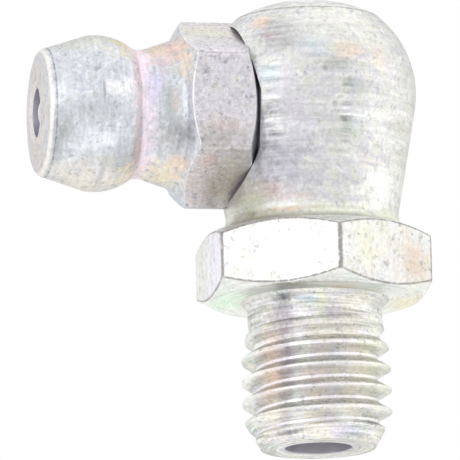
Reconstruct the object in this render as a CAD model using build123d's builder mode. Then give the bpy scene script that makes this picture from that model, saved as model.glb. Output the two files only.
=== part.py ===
from build123d import *
import math
import os

# A 90 degree hydraulic grease nipple: a turned elbow body with a hexagon and a threaded
# shank, and a nipple head pressed into its side with a ball check valve inside.
#
# Frame: the thread axis is Z, pointing away from the machine. The origin is on that axis
# in the seat plane, the underside of the hexagon. The nipple axis points towards -X.

os.makedirs("parts", exist_ok=True)

# ---------------------------------------------------------------- driving dimensions, mm

# Hexagon flange of the elbow body
flange_across_flats = 9.0
flange_height = 2.85
flange_face_step = 0.15
flange_corner_radius = 0.3
hex_chamfer_angle = 30.0

# Threaded shank below the seat, 1/4-28 rolled on a thinner blank. The lead-in is the share
# of a turn by which the groove starts below the end of the shank.
thread_diameter = 6.25
threads_per_inch = 28
shank_length = 6.22
blank_diameter = 5.62
root_chamfer = 0.3
plain_length = 0.95
thread_fade_length = 1.5
thread_lead_in = 0.85
end_face_diameter = 4.8
end_chamfer_angle = 30.0
duct_diameter = 2.8

# Upright of the elbow body: a flank that widens upwards, a round shoulder and a low cap
axis_height = 7.86
widest_diameter = 9.0
widest_above_axis = 0.95
shoulder_radius = 4.2
flank_angle = 10.4
crease_diameter = 6.1
cap_height = 0.79
foot_land = 0.06

# Spot face and pocket in the side of the elbow body
spot_face_distance = 2.8
spot_face_flare_angle = 20.0
spot_face_clearance = 0.05
pocket_past_axis = 1.5
drill_point_angle = 118.0

# Outside of the nipple head, back from its front face
head_diameter = 6.55
head_crown = 2.5
head_crown_lead = 0.35
head_crown_radius = 2.46
head_cone_angle = 17.4
head_face_fall = 0.16
head_nose_chamfer = 0.1
neck_diameter = 5.4
neck_band_length = 0.42
neck_blend_radius = 0.4
flare_length = 1.29
flare_blend_radius = 0.45

# Hexagon collar and spigot of the nipple head. The steps are radial, in from the flats to
# the two end faces, and in from the sharp corners to the turned ones.
collar_across_flats = 7.0
collar_length = 3.12
collar_front_step = 0.37
collar_back_step = 0.5
collar_corner_step = 0.09
spigot_diameter = 5.0
spigot_length = 2.2
spigot_chamfer = 0.25

# Grease way through the nipple head
orifice_diameter = 2.08
orifice_chamfer = 0.12
orifice_land = 0.65
seat_half_angle = 30.0
chamber_diameter = 2.8
tail_lip_thickness = 0.35
tail_hole_diameter = 1.7

# Check valve
ball_diameter = 2.5
ball_clearance = 0.02
spring_wire = 0.3
spring_wire_sides = 6
spring_diameter = 2.3
spring_turns = 5.5
spring_clearance = 0.02

# ---------------------------------------------------------------------- worked-out sizes

chamfer_slope = math.tan(math.radians(hex_chamfer_angle))
thread_pitch = 25.4 / threads_per_inch
thread_depth = 0.6134 * thread_pitch
thread_radius = thread_diameter / 2
thread_root_radius = thread_radius - thread_depth
blank_radius = blank_diameter / 2
crest_start = plain_length + thread_fade_length
end_chamfer_rise = (thread_radius - end_face_diameter / 2) / math.tan(math.radians(end_chamfer_angle))
collar_back = -spot_face_distance
collar_front = collar_back - collar_length
tail_end = collar_back + spigot_length
collar_corner = collar_across_flats / 2 / math.cos(math.pi / 6)
collar_edge = collar_corner - collar_corner_step
collar_front_face = collar_across_flats / 2 - collar_front_step
collar_back_face = collar_across_flats / 2 - collar_back_step
nipple_axis = Axis((0, 0, axis_height), (1, 0, 0))
half_section = Plane((0, 0, axis_height), x_dir=(1, 0, 0), z_dir=(0, -1, 0))

# ---------------------------------------------------------------------------- elbow body

flange_corner = flange_across_flats / 2 / math.cos(math.pi / 6)
flange_face = flange_across_flats / 2 - flange_face_step
flange_drop = (flange_corner - flange_face) * chamfer_slope

groove_root_flat = thread_pitch * 7 / 8 - 2 * thread_depth * math.tan(math.radians(30))
groove_overrun = 0.06
groove_depth = thread_depth + groove_overrun
groove_mouth = groove_root_flat + 2 * groove_depth * math.tan(math.radians(30))
groove_bottom = -shank_length - thread_lead_in * thread_pitch
groove_turns = math.ceil((-plain_length - groove_bottom) / thread_pitch)

shoulder_axis = widest_diameter / 2 - shoulder_radius
shoulder_height = axis_height + widest_above_axis
flank = math.radians(flank_angle)
flank_top = (
    shoulder_axis + shoulder_radius * math.cos(flank),
    shoulder_height - shoulder_radius * math.sin(flank),
)
foot_radius = flank_top[0] - (flank_top[1] - flange_height) * math.tan(flank)
foot_fillet = (flange_face - foot_land - foot_radius) * math.tan((math.pi / 2 - flank) / 2)
crease_angle = math.degrees(math.acos((crease_diameter / 2 - shoulder_axis) / shoulder_radius))
crease_height = shoulder_height + shoulder_radius * math.sin(math.radians(crease_angle))
cap_top = crease_height + cap_height

pocket_radius = spigot_diameter / 2
drill_point = pocket_radius / math.tan(math.radians(drill_point_angle / 2))
collar_back_run = (collar_edge - collar_back_face) * chamfer_slope
spot_face_slope = math.tan(math.radians(spot_face_flare_angle))
spot_face_radius = collar_edge + spot_face_clearance - collar_back_run * spot_face_slope
spot_face_mouth = spot_face_radius + widest_diameter * spot_face_slope

with BuildPart() as elbow_body:
    # The flange: a hexagon with two flats across X, its corners turned off at both ends
    with BuildSketch() as flange_outline:
        RegularPolygon(flange_across_flats / 2, 6, major_radius=False, rotation=30)
        fillet(flange_outline.vertices(), flange_corner_radius)
    extrude(amount=flange_height)
    with BuildSketch(Plane.XZ):
        with BuildLine():
            Polyline(
                (0, 0),
                (flange_face, 0),
                (flange_corner, flange_drop),
                (flange_corner, flange_height - flange_drop),
                (flange_face, flange_height),
                (0, flange_height),
                close=True,
            )
        make_face()
    revolve(axis=Axis.Z, mode=Mode.INTERSECT)

    # The shank: plain blank under the seat, fading up to the thread crests, cone at the end
    with BuildSketch(Plane.XZ):
        with BuildLine():
            Polyline(
                (0, 0),
                (blank_radius, 0),
                (blank_radius, -plain_length),
                (thread_radius, -crest_start),
                (thread_radius, end_chamfer_rise - shank_length),
                (end_face_diameter / 2, -shank_length),
                (0, -shank_length),
                close=True,
            )
        make_face()
    revolve(axis=Axis.Z)
    root_edge = (
        elbow_body.edges()
        .filter_by(GeomType.CIRCLE)
        .filter_by_position(Axis.Z, 0, 0)
        .sort_by(SortBy.RADIUS)[0]
    )
    chamfer(root_edge, root_chamfer)

    # The thread groove, cut turn by turn from below the end up into the blank
    for turn in range(groove_turns):
        turn_start = (0, 0, groove_bottom + turn * thread_pitch)
        with BuildLine() as groove_path:
            Helix(thread_pitch, thread_pitch, thread_root_radius, center=turn_start)
        with BuildSketch(Plane(groove_path.line @ 0, x_dir=(1, 0, 0), z_dir=groove_path.line % 0)):
            with BuildLine():
                Polyline(
                    (0, -groove_root_flat / 2),
                    (groove_depth, -groove_mouth / 2),
                    (groove_depth, groove_mouth / 2),
                    (0, groove_root_flat / 2),
                    close=True,
                )
            make_face()
        sweep(path=groove_path.line, is_frenet=True, mode=Mode.SUBTRACT)

    # The run-out: the groove gets shallower where the rolled thread meets the blank
    with BuildSketch(Plane.XZ):
        with BuildLine():
            Polyline(
                (0, 0),
                (blank_radius, 0),
                (blank_radius, -plain_length),
                (thread_root_radius, -crest_start),
                (0, -crest_start),
                close=True,
            )
        make_face()
    revolve(axis=Axis.Z)

    # The upright, turned as one outline and blended into the flange at its foot
    with BuildSketch(Plane.XZ):
        with BuildLine():
            Line((0, flange_height), (foot_radius, flange_height))
            Line((foot_radius, flange_height), flank_top)
            shoulder = CenterArc(
                (shoulder_axis, shoulder_height),
                shoulder_radius,
                start_angle=-flank_angle,
                arc_size=flank_angle + crease_angle,
            )
            TangentArc((0, cap_top), shoulder @ 1, tangent=(1, 0))
            Line((0, cap_top), (0, flange_height))
        make_face()
    revolve(axis=Axis.Z)
    foot_edge = (
        elbow_body.edges()
        .filter_by(GeomType.CIRCLE)
        .filter_by_position(Axis.Z, flange_height, flange_height)
        .sort_by(SortBy.RADIUS)[0]
    )
    fillet(foot_edge, foot_fillet)

    # The spot face for the collar, with a flared wall, and the pocket for the spigot
    with BuildSketch(half_section):
        with BuildLine():
            Polyline(
                (-spot_face_distance, pocket_radius),
                (-spot_face_distance, spot_face_radius),
                (-spot_face_distance - widest_diameter, spot_face_mouth),
                (-spot_face_distance - widest_diameter, 0),
                (pocket_past_axis + drill_point, 0),
                (pocket_past_axis, pocket_radius),
                close=True,
            )
        make_face()
    revolve(axis=nipple_axis, mode=Mode.SUBTRACT)

    # The duct, drilled from the shank end up to the nipple axis
    with BuildSketch(Plane.XY.offset(-shank_length)):
        Circle(duct_diameter / 2)
    extrude(amount=shank_length + axis_height, mode=Mode.SUBTRACT)

elbow_body.part.label = "elbow_body"
export_step(elbow_body.part, "parts/elbow_body.step")

# --------------------------------------------------------------------------- nipple head

crown_axis = head_diameter / 2 - head_crown_radius
neck_radius = neck_diameter / 2
neck_start = head_crown + math.sqrt(head_crown_radius**2 - (neck_radius - crown_axis) ** 2)
neck_end = neck_start + neck_band_length
cone_end = head_crown - head_crown_lead
cone_end_radius = crown_axis + math.sqrt(head_crown_radius**2 - head_crown_lead**2)
nose_radius = cone_end_radius - (cone_end - head_face_fall) * math.tan(math.radians(head_cone_angle))
head_front = collar_front - flare_length - neck_end
nose_point = (head_front + head_face_fall, nose_radius)

orifice_radius = orifice_diameter / 2
face_radius = orifice_radius + orifice_chamfer
chamber_radius = chamber_diameter / 2
seat_slope = math.tan(math.radians(seat_half_angle))
seat_start = head_front + orifice_land
seat_end = seat_start + (chamber_radius - orifice_radius) / seat_slope
lip_front = tail_end - tail_lip_thickness

with BuildPart() as nipple_head:
    # The collar: a hexagon with corners up and down, turned off at 30 degrees at both ends
    with BuildSketch(Plane((collar_front, 0, axis_height), x_dir=(0, 1, 0), z_dir=(1, 0, 0))):
        RegularPolygon(collar_across_flats / 2, 6, major_radius=False, rotation=30)
    extrude(amount=collar_length)
    with BuildSketch(half_section):
        with BuildLine():
            Polyline(
                (collar_front, 0),
                (collar_front, collar_front_face),
                (collar_front + (collar_edge - collar_front_face) * chamfer_slope, collar_edge),
                (collar_back - collar_back_run, collar_edge),
                (collar_back, collar_back_face),
                (collar_back, 0),
                close=True,
            )
        make_face()
    revolve(axis=nipple_axis, mode=Mode.INTERSECT)

    # The button head, waisted neck and flare that runs out into the collar's front cone
    with BuildSketch(half_section) as head_outline:
        with BuildLine():
            Line((collar_front, 0), (head_front, 0))
            Line((head_front, 0), (head_front, face_radius))
            Line((head_front, face_radius), nose_point)
            Line(nose_point, (head_front + cone_end, cone_end_radius))
            ThreePointArc(
                (head_front + cone_end, cone_end_radius),
                (head_front + head_crown, head_diameter / 2),
                (head_front + neck_start, neck_radius),
            )
            Line((head_front + neck_start, neck_radius), (head_front + neck_end, neck_radius))
            Line((head_front + neck_end, neck_radius), (collar_front, collar_front_face))
            Line((collar_front, collar_front_face), (collar_front, 0))
        make_face()
        nose = head_outline.vertices().sort_by_distance(nose_point)[0]
        chamfer(nose, head_nose_chamfer)
        neck_corner = head_outline.vertices().sort_by_distance((head_front + neck_start, neck_radius))[0]
        fillet(neck_corner, neck_blend_radius)
    revolve(axis=nipple_axis)
    flare_edge = (
        nipple_head.edges()
        .filter_by(GeomType.CIRCLE)
        .filter_by_position(Axis.X, collar_front, collar_front)
        .sort_by(SortBy.RADIUS)[-1]
    )
    fillet(flare_edge, flare_blend_radius)

    # The spigot that is pressed into the pocket
    with BuildSketch(half_section):
        with BuildLine():
            Polyline(
                (collar_back, 0),
                (collar_back, pocket_radius),
                (tail_end - spigot_chamfer, pocket_radius),
                (tail_end, pocket_radius - spigot_chamfer),
                (tail_end, 0),
                close=True,
            )
        make_face()
    revolve(axis=nipple_axis)

    # The grease way: mouth, orifice, conical ball seat, spring chamber and the rolled-in tail lip
    with BuildSketch(half_section):
        with BuildLine():
            Polyline(
                (head_front, 0),
                (head_front, face_radius),
                (head_front + orifice_chamfer, orifice_radius),
                (seat_start, orifice_radius),
                (seat_end, chamber_radius),
                (lip_front, chamber_radius),
                (lip_front, tail_hole_diameter / 2),
                (tail_end, tail_hole_diameter / 2),
                (tail_end, 0),
                close=True,
            )
        make_face()
    revolve(axis=nipple_axis, mode=Mode.SUBTRACT)

nipple_head.part.label = "nipple_head"
export_step(nipple_head.part, "parts/nipple_head.step")

# --------------------------------------------------------------------------- check valve

ball_radius = ball_diameter / 2
seat_apex = seat_start - orifice_radius / seat_slope
ball_center = seat_apex + (ball_radius + ball_clearance) / math.sin(math.radians(seat_half_angle))

with BuildPart() as check_ball:
    with Locations((ball_center, 0, axis_height)):
        Sphere(ball_radius)

check_ball.part.label = "check_ball"
export_step(check_ball.part, "parts/check_ball.step")

coil_radius = (spring_diameter - spring_wire) / 2
wire_to_ball = ball_radius + spring_wire / 2 + spring_clearance
coil_start = ball_center + math.sqrt(wire_to_ball**2 - coil_radius**2)
coil_end = lip_front - spring_wire / 2 - spring_clearance
coil_length = coil_end - coil_start

with BuildPart() as check_spring:
    with BuildLine() as coil_path:
        Helix(
            coil_length / spring_turns,
            coil_length,
            coil_radius,
            center=(coil_start, 0, axis_height),
            direction=(1, 0, 0),
        )
    with BuildSketch(Plane(coil_path.line @ 0, z_dir=coil_path.line % 0)):
        RegularPolygon(spring_wire / 2, spring_wire_sides)
    sweep(path=coil_path.line, is_frenet=True)

check_spring.part.label = "check_spring"
export_step(check_spring.part, "parts/check_spring.step")
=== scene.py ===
import logging
import math
from abc import ABC, abstractmethod
from collections.abc import Sequence
from dataclasses import dataclass, replace
from enum import Enum
from typing import Any

import bmesh
import bpy
from mathutils import Matrix, Vector


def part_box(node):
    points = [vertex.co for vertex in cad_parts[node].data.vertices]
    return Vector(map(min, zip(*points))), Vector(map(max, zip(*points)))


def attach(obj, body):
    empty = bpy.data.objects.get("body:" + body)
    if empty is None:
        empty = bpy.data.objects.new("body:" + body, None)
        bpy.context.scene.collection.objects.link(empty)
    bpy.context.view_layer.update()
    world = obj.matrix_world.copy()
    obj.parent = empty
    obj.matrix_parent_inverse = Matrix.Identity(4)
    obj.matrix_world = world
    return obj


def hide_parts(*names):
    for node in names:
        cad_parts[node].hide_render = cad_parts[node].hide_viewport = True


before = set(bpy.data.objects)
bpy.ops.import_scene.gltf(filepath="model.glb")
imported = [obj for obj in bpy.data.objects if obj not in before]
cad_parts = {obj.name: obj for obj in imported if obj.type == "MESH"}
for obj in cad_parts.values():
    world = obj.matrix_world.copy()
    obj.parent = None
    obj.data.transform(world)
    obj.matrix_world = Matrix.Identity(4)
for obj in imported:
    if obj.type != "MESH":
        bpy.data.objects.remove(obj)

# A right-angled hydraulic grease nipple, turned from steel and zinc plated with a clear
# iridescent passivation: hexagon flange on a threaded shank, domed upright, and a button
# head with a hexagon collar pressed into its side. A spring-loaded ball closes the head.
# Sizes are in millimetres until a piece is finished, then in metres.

BMesh = bmesh.types.BMesh
Material = bpy.types.Material
Object = bpy.types.Object
Tree = bpy.types.NodeTree
Socket = bpy.types.NodeSocket
Place = tuple[float, float, float]

LOG = logging.getLogger("grease_nipple")
METRES = 0.001
WELD = 1e-4  # points closer than this are one
SLIVER = 1e-5  # an edge shorter than this is dissolved
CRISP = math.radians(38)  # an edge sharper than this isn't smoothed
STEPS = 288  # segments round a turned piece, a multiple of 12 so that corners fall on one
ARC_STEP = math.radians(10)  # the largest turn between two rings of a small arc
HALF_FLAT = math.pi / 6  # from a hexagon's corner to the middle of a flat
SLOPE = math.tan(HALF_FLAT)  # chamfers and thread flanks stand at 30 degrees
AXIS_HEIGHT = 7.86  # height of the nipple axis over the seat
SPOT_DISTANCE = 2.8  # from the thread axis to the spot face
POCKET_RADIUS = 2.5  # of the spigot and the pocket that it is pressed into
FACE_RINGS = 3  # rings that a hexagon bar has on each end face
FACE_WEAR = 0.4  # how much an end face's edge is worn, as a share of the flats' own
WEAR_FADE = 0.05  # over which wear fades out beside a corner


# ------------------------------------------------------------------------ turned outlines


class Follow(Enum):
    """What one ring of a skin follows on its way round the axis."""

    CIRCLE = 0  # a plain circle in even steps
    GATHERED = 1  # a plain circle, its steps gathered at the hexagon's corners
    LOW_CORNER = 2  # the edge between the flats and the chamfer at the low end
    HIGH_CORNER = 3  # the same edge at the high end


@dataclass(frozen=True)
class Row:
    """One ring of a skin, or one corner of the outline that it is spun from.

    On a ring that follows a hexagon's edge, radius and height are added to the edge's own.
    Ease is the radius that rounds a corner, finish the material slot of the surface from
    this ring to the next. Wear runs from -1, where grime sits along an edge, to 1, where
    the plate is rubbed bright. On the dome's crease, the button's nose and the collar's
    edges the same wear also paints shade and highlights.
    """

    radius: float
    height: float
    ease: float = 0.0
    finish: int = 0
    follow: Follow = Follow.CIRCLE
    wear: float = 0.0


@dataclass(frozen=True)
class Hexagon:
    """The outline of a hexagon bar with its corners rounded or turned off."""

    across_flats: float
    corner_round: float
    turned_radius: float  # to which the corners are turned off
    face_radius: float  # where the chamfers start
    corner_wear: float
    worn_width: float
    first_corner: float = HALF_FLAT
    pull: float = 0.35  # spacing of the steps at a corner as a share of the even spacing

    def from_corner(self, angle: float) -> float:
        """Returns the signed angle from the nearest corner."""
        return (angle - self.first_corner + HALF_FLAT) % (2 * HALF_FLAT) - HALF_FLAT

    def gather(self, angle: float) -> float:
        """Moves an even step towards the nearest corner, where the outline bends.

        Args:
            angle: the even step's angle.

        Returns:
            The gathered angle.
        """
        away = self.from_corner(angle)
        share = away / HALF_FLAT
        return angle - away + HALF_FLAT * (self.pull * share + (1 - self.pull) * share**3)

    def reach(self, angle: float) -> float:
        """Measures how far the outline lies from the axis.

        Args:
            angle: the direction from the axis.

        Returns:
            The distance in that direction.
        """
        away = abs(self.from_corner(angle))
        flat = self.across_flats / 2 / math.cos(HALF_FLAT - away)
        centre = (self.across_flats / 2 - self.corner_round) / math.cos(HALF_FLAT)
        land = math.atan2(self.corner_round / 2, centre + self.corner_round * math.cos(HALF_FLAT))
        if away < land:
            rise = self.corner_round**2 - (centre * math.sin(away)) ** 2
            flat = centre * math.cos(away) + math.sqrt(rise)
        return min(flat, self.turned_radius)

    def chamfer(self, angle: float) -> float:
        """Returns how far the chamfer runs back from the end face at an angle."""
        return (self.reach(angle) - self.face_radius) * SLOPE

    def wear(self, angle: float) -> float:
        """Returns the wear along the nearest corner of the bar, nothing away from it."""
        inside = self.worn_width - abs(self.from_corner(angle)) * self.reach(angle)
        return self.corner_wear * min(max(inside / WEAR_FADE, 0.0), 1.0)


def corner_rows(
    low: float, high: float, soft: float, face: float, finishes: tuple[int, int], wear: float
) -> list[Row]:
    """Rings of a hexagon bar between two end faces, with each edge slightly worn.

    Args:
        low: height of the low end face.
        high: height of the high end face.
        soft: how far the wear reaches each side of an edge.
        face: radius where the chamfers start.
        finishes: material slots of the turned ends and of the flats.
        wear: wear along the edges; on the collar it is rubbed plate and a painted highlight.

    Returns:
        The rings from the low end face to the high one.
    """
    run, climb = soft * math.cos(HALF_FLAT), soft / 2
    rows = [
        Row(face - soft, 0, follow=Follow.GATHERED),
        Row(face - soft / 4 + run / 4, climb / 4, follow=Follow.GATHERED, wear=FACE_WEAR * wear),
        Row(face + run, climb, follow=Follow.GATHERED),
        Row(-run, -climb, follow=Follow.LOW_CORNER),
        Row(-run / 4, (soft - climb) / 4, follow=Follow.LOW_CORNER, wear=wear),
        Row(0, soft, follow=Follow.LOW_CORNER),
    ]
    flip = {Follow.GATHERED: Follow.GATHERED, Follow.LOW_CORNER: Follow.HIGH_CORNER}
    lower = [replace(row, height=low + row.height) for row in rows]
    upper = [replace(row, height=high - row.height, follow=flip[row.follow]) for row in rows]
    bar = lower + upper[::-1]
    turned, flat = finishes
    flats = range(FACE_RINGS, len(bar) - FACE_RINGS - 1)
    return [replace(row, finish=flat if index in flats else turned) for index, row in enumerate(bar)]


def arc_rows(centre: tuple[float, float], radius: float, start: float, end: float, count: int) -> list[Row]:
    """Rings along an arc of the outline.

    Args:
        centre: radius and height of the arc's centre.
        radius: radius of the arc.
        start: angle of the first ring in degrees, from the outward direction.
        end: angle of the last ring in degrees.
        count: number of rings.

    Returns:
        The rings in order.
    """
    turns = [math.radians(start + (end - start) * i / (count - 1)) for i in range(count)]
    return [Row(centre[0] + radius * math.cos(t), centre[1] + radius * math.sin(t)) for t in turns]


def eased(rows: Sequence[Row]) -> list[Row]:
    """Rounds every inner corner of an outline that asks for it.

    Args:
        rows: the outline's corners.

    Returns:
        The outline with each eased corner turned into a short arc of rings.
    """
    result = [rows[0]]
    for before, row, after in zip(rows, rows[1:], rows[2:]):
        if not row.ease:
            result.append(row)
            continue
        here = Vector((row.radius, row.height))
        back = (Vector((before.radius, before.height)) - here).normalized()
        on = (Vector((after.radius, after.height)) - here).normalized()
        half = back.angle(on) / 2
        centre = here + (back + on).normalized() * row.ease / math.sin(half)
        first = here + back * row.ease / math.tan(half) - centre
        sweep = first.angle_signed(here + on * row.ease / math.tan(half) - centre)
        count = max(3, math.ceil(abs(sweep) / ARC_STEP) + 1)
        for i in range(count):
            point = centre + Matrix.Rotation(-sweep * i / (count - 1), 2) @ first
            wear = row.wear * math.sin(math.pi * i / (count - 1))
            result.append(Row(point.x, point.y, finish=row.finish, wear=wear))
    return result + [rows[-1]]


def even_angle(place: Vector) -> float:
    """Returns the angle of the even step that a spun point stands on."""
    return round(math.atan2(place.y, place.x) / math.tau * STEPS) * math.tau / STEPS


def spun(rows: Sequence[Row], hexagon: Hexagon | None = None, closed: bool = False) -> BMesh:
    """Spins an outline about Z into a skin and lays each ring where it belongs.

    Args:
        rows: the outline.
        hexagon: the bar that its hexagon rings follow.
        closed: whether the outline is a loop.

    Returns:
        The skin, its seams not yet merged.
    """
    bm = bmesh.new()
    tag = bm.verts.layers.int.new("row")
    # the wear, with the painted highlights and shade that some rings carry
    worn = bm.verts.layers.float.new("wear")
    line = [bm.verts.new((1, 0, index)) for index in range(len(rows))]
    for index, vert in enumerate(line):
        vert[tag] = index
    pairs = list(zip(line, line[1:])) + ([(line[-1], line[0])] if closed else [])
    edges = [bm.edges.new(pair) for pair in pairs]
    bmesh.ops.spin(
        bm, geom=line + edges, cent=(0, 0, 0), axis=(0, 0, 1), angle=math.tau, steps=STEPS, use_merge=True
    )
    for vert in bm.verts:
        row = rows[vert[tag]]
        angle = even_angle(vert.co)
        radius, height, wear = row.radius, row.height, row.wear
        if row.follow is not Follow.CIRCLE:
            angle = hexagon.gather(angle)
        if row.follow in (Follow.LOW_CORNER, Follow.HIGH_CORNER):
            side = 1 if row.follow is Follow.LOW_CORNER else -1
            radius, height = radius + hexagon.reach(angle), height + side * hexagon.chamfer(angle)
            wear = max(wear, hexagon.wear(angle), key=abs) if row.radius == 0 else wear
        vert[worn] = wear
        vert.co = (radius * math.cos(angle), radius * math.sin(angle), height)
    for face in bm.faces:
        tags = {vert[tag] for vert in face.verts}
        wrap = closed and {0, len(rows) - 1} <= tags
        face.material_index = rows[max(tags) if wrap else min(tags)].finish
    return bm


def as_mesh(bm: BMesh, name: str) -> bpy.types.Mesh:
    """Turns a bmesh into a mesh, and frees the bmesh.

    Args:
        bm: the bmesh.
        name: name of the mesh.

    Returns:
        The mesh.
    """
    mesh = bpy.data.meshes.new(name)
    bm.to_mesh(mesh)
    bm.free()
    return mesh


def in_scene(name: str, data: bpy.types.ID) -> Object:
    """Puts a mesh, light or camera in the scene.

    Args:
        name: name of the object.
        data: what the object shows.

    Returns:
        The object.
    """
    made = bpy.data.objects.new(name, data)
    bpy.context.scene.collection.objects.link(made)
    return made


def joined(parts: Sequence[BMesh]) -> BMesh:
    """Makes one mesh of several skins, merged where their rings meet.

    Args:
        parts: the skins. They are freed.

    Returns:
        The mesh, its faces pointing outwards.
    """
    whole = bmesh.new()
    for part in parts:
        mesh = as_mesh(part, "skin")
        whole.from_mesh(mesh)
        bpy.data.meshes.remove(mesh)
    bmesh.ops.remove_doubles(whole, verts=whole.verts, dist=WELD)
    bmesh.ops.recalc_face_normals(whole, faces=whole.faces)
    return whole


def lay_along_nipple(bm: BMesh, shift: float) -> None:
    """Turns what stands on Z to lie along the nipple axis, and shifts it along X."""
    bmesh.ops.rotate(bm, cent=(0, 0, 0), matrix=Matrix.Rotation(math.pi / 2, 3, "Y"), verts=bm.verts)
    bmesh.ops.translate(bm, vec=(shift, 0, AXIS_HEIGHT), verts=bm.verts)


def cut_away(body: BMesh, tool: BMesh, slots: int) -> BMesh:
    """Cuts one closed mesh out of another.

    Args:
        body: the mesh that is cut. It is freed.
        tool: the mesh that is taken away. It is freed.
        slots: number of material slots that both use.

    Returns:
        What is left of the body.
    """
    pair = [in_scene("blank", as_mesh(bm, "blank")) for bm in (body, tool)]
    for blank in pair:
        for _ in range(slots):
            blank.data.materials.append(None)
    cut = pair[0].modifiers.new("cut", "BOOLEAN")
    cut.operation = "DIFFERENCE"
    cut.solver = "EXACT"
    cut.object = pair[1]
    result = bpy.data.meshes.new_from_object(pair[0].evaluated_get(bpy.context.evaluated_depsgraph_get()))
    left = bmesh.new()
    left.from_mesh(result)
    for mesh in (pair[0].data, pair[1].data, result):
        bpy.data.meshes.remove(mesh)
    return left


def finish_mesh(bm: BMesh, name: str, materials: Sequence[Material]) -> Object:
    """Turns a finished bmesh in millimetres into a piece in metres, and frees the bmesh.

    Args:
        bm: the mesh.
        name: name of the piece.
        materials: its materials, in the order of its slots.

    Returns:
        The piece, with its place in its mesh.
    """
    bmesh.ops.remove_doubles(bm, verts=bm.verts, dist=WELD)
    bmesh.ops.dissolve_degenerate(bm, edges=bm.edges, dist=SLIVER)
    bmesh.ops.recalc_face_normals(bm, faces=bm.faces)
    for face in bm.faces:
        face.smooth = True
    for edge in bm.edges:
        edge.smooth = len(edge.link_faces) == 2 and edge.calc_face_angle() < CRISP
    bmesh.ops.scale(bm, vec=(METRES,) * 3, verts=bm.verts)
    piece = in_scene(name, as_mesh(bm, name))
    for material in materials:
        piece.data.materials.append(material)
    return piece


# ------------------------------------------------------------------------------- finishes

NOISE_SPAN = (0.3, 0.7)  # nearly all values of a noise lie between these
FINER = 0.62  # strength of each finer octave of a noise against the one before
TEAR = 2.6  # how far the noise tears the rim of a patch, in sizes of the patch
LINE_TO_SHADE = (0.32, 0.68, -0.9, 0.45)  # each of these carries one span to another
CELL_TO_DENT = (0.05, 0.13, 1.0, 0.0)
NOISE_TO_BREAKS = (0.35, 0.65, 0.4, 1.35)
# wear carried to grime and painted shade, then to rubbed plate and painted highlights
WEAR_TO_GRIME_AND_SHADE = (-0.15, -0.75, 0.0, 0.85)
WEAR_TO_RUBBED_AND_HIGHLIGHT = (0.1, 0.8, 0.0, 0.9)
DARK_SPECKS, LIGHT_SPECKS = (0.82, 1.0), (0.62, 0.5)  # where their noise starts and is full


def linear(colour: str) -> tuple[float, float, float, float]:
    """Turns a colour to linear light.

    Args:
        colour: an sRGB hex colour.

    Returns:
        Its linear red, green, blue and alpha.
    """
    parts = [int(colour[i : i + 2], 16) / 255 for i in (1, 3, 5)]
    red, green, blue = (c / 12.92 if c <= 0.04045 else ((c + 0.055) / 1.055) ** 2.4 for c in parts)
    return (red, green, blue, 1.0)


def add(tree: Tree, kind: str, inputs: Any = (), out: int | str | None = 0, **settings: Any) -> Socket:
    """Adds a shader node with its settings and links.

    Args:
        tree: the node tree.
        kind: the node's type, without the ShaderNode in front.
        inputs: a value or an output socket for each input, in order, or by name or number.
        out: name or number of the output that is wanted, None where the node has none.
        settings: attributes of the node. Stops is a list of positions and hex colours for a
            colour ramp.

    Returns:
        The output socket.
    """
    made = tree.nodes.new("ShaderNode" + kind)
    stops = settings.pop("stops", ())
    for key, value in settings.items():
        setattr(made, key, value)
    for _ in stops[2:]:
        made.color_ramp.elements.new(0.5)
    for index, (position, colour) in enumerate(stops):
        made.color_ramp.elements[index].position = position
        made.color_ramp.elements[index].color = linear(colour)
    for key, value in inputs.items() if isinstance(inputs, dict) else enumerate(inputs):
        if isinstance(value, Socket):
            tree.links.new(value, made.inputs[key])
        else:
            made.inputs[key].default_value = value
    return None if out is None else made.outputs[out]


@dataclass(frozen=True)
class Finish(ABC):
    """What every finish shares: a name and a node material that it wires up."""

    name: str

    @abstractmethod
    def wire(self, tree: Tree, shader: bpy.types.Node) -> None:
        """Wires the finish to the shader of a new material."""

    def material(self) -> Material:
        """Builds the finish.

        Returns:
            The node material.
        """
        made = bpy.data.materials.new(self.name)
        made.use_nodes = True
        self.wire(made.node_tree, made.node_tree.nodes["Principled BSDF"])
        return made


class Lay(Enum):
    """Which way tool lines run: the axis, its height, and whether they ring it or run along it."""

    ROUND_UPRIGHT = ((0, 0, 1), 0.0, True)
    ROUND_NIPPLE = ((1, 0, 0), AXIS_HEIGHT, True)
    ALONG_UPRIGHT = ((0, 0, 1), 0.0, False)
    ALONG_NIPPLE = ((1, 0, 0), AXIS_HEIGHT, False)


@dataclass(frozen=True)
class Patch:
    """A soft place on a finish: an ellipsoid in the piece's millimetres with a torn rim."""

    centre: Place
    size: Place
    strength: float
    colour: str = "#FFFFFF"

    def mask(self, tree: Tree, mm: Socket, rim: Socket) -> Socket:
        """Measures how strongly the patch shows.

        Args:
            tree: the node tree.
            mm: the place in millimetres.
            rim: the noise that tears the rim.

        Returns:
            The socket with the strength, falling to nothing outside the patch.
        """
        off = add(tree, "VectorMath", (mm, self.centre), operation="SUBTRACT")
        unit = add(tree, "VectorMath", (off, tuple(1 / s for s in self.size)), operation="MULTIPLY")
        away = add(tree, "VectorMath", (unit,), "Value", operation="LENGTH")
        torn = add(tree, "Math", (rim, TEAR, away), operation="MULTIPLY_ADD")
        fall = (torn, TEAR / 2, TEAR, self.strength, 0.0)  # half of it is what the noise adds
        return add(tree, "MapRange", fall, interpolation_type="SMOOTHSTEP")


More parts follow.
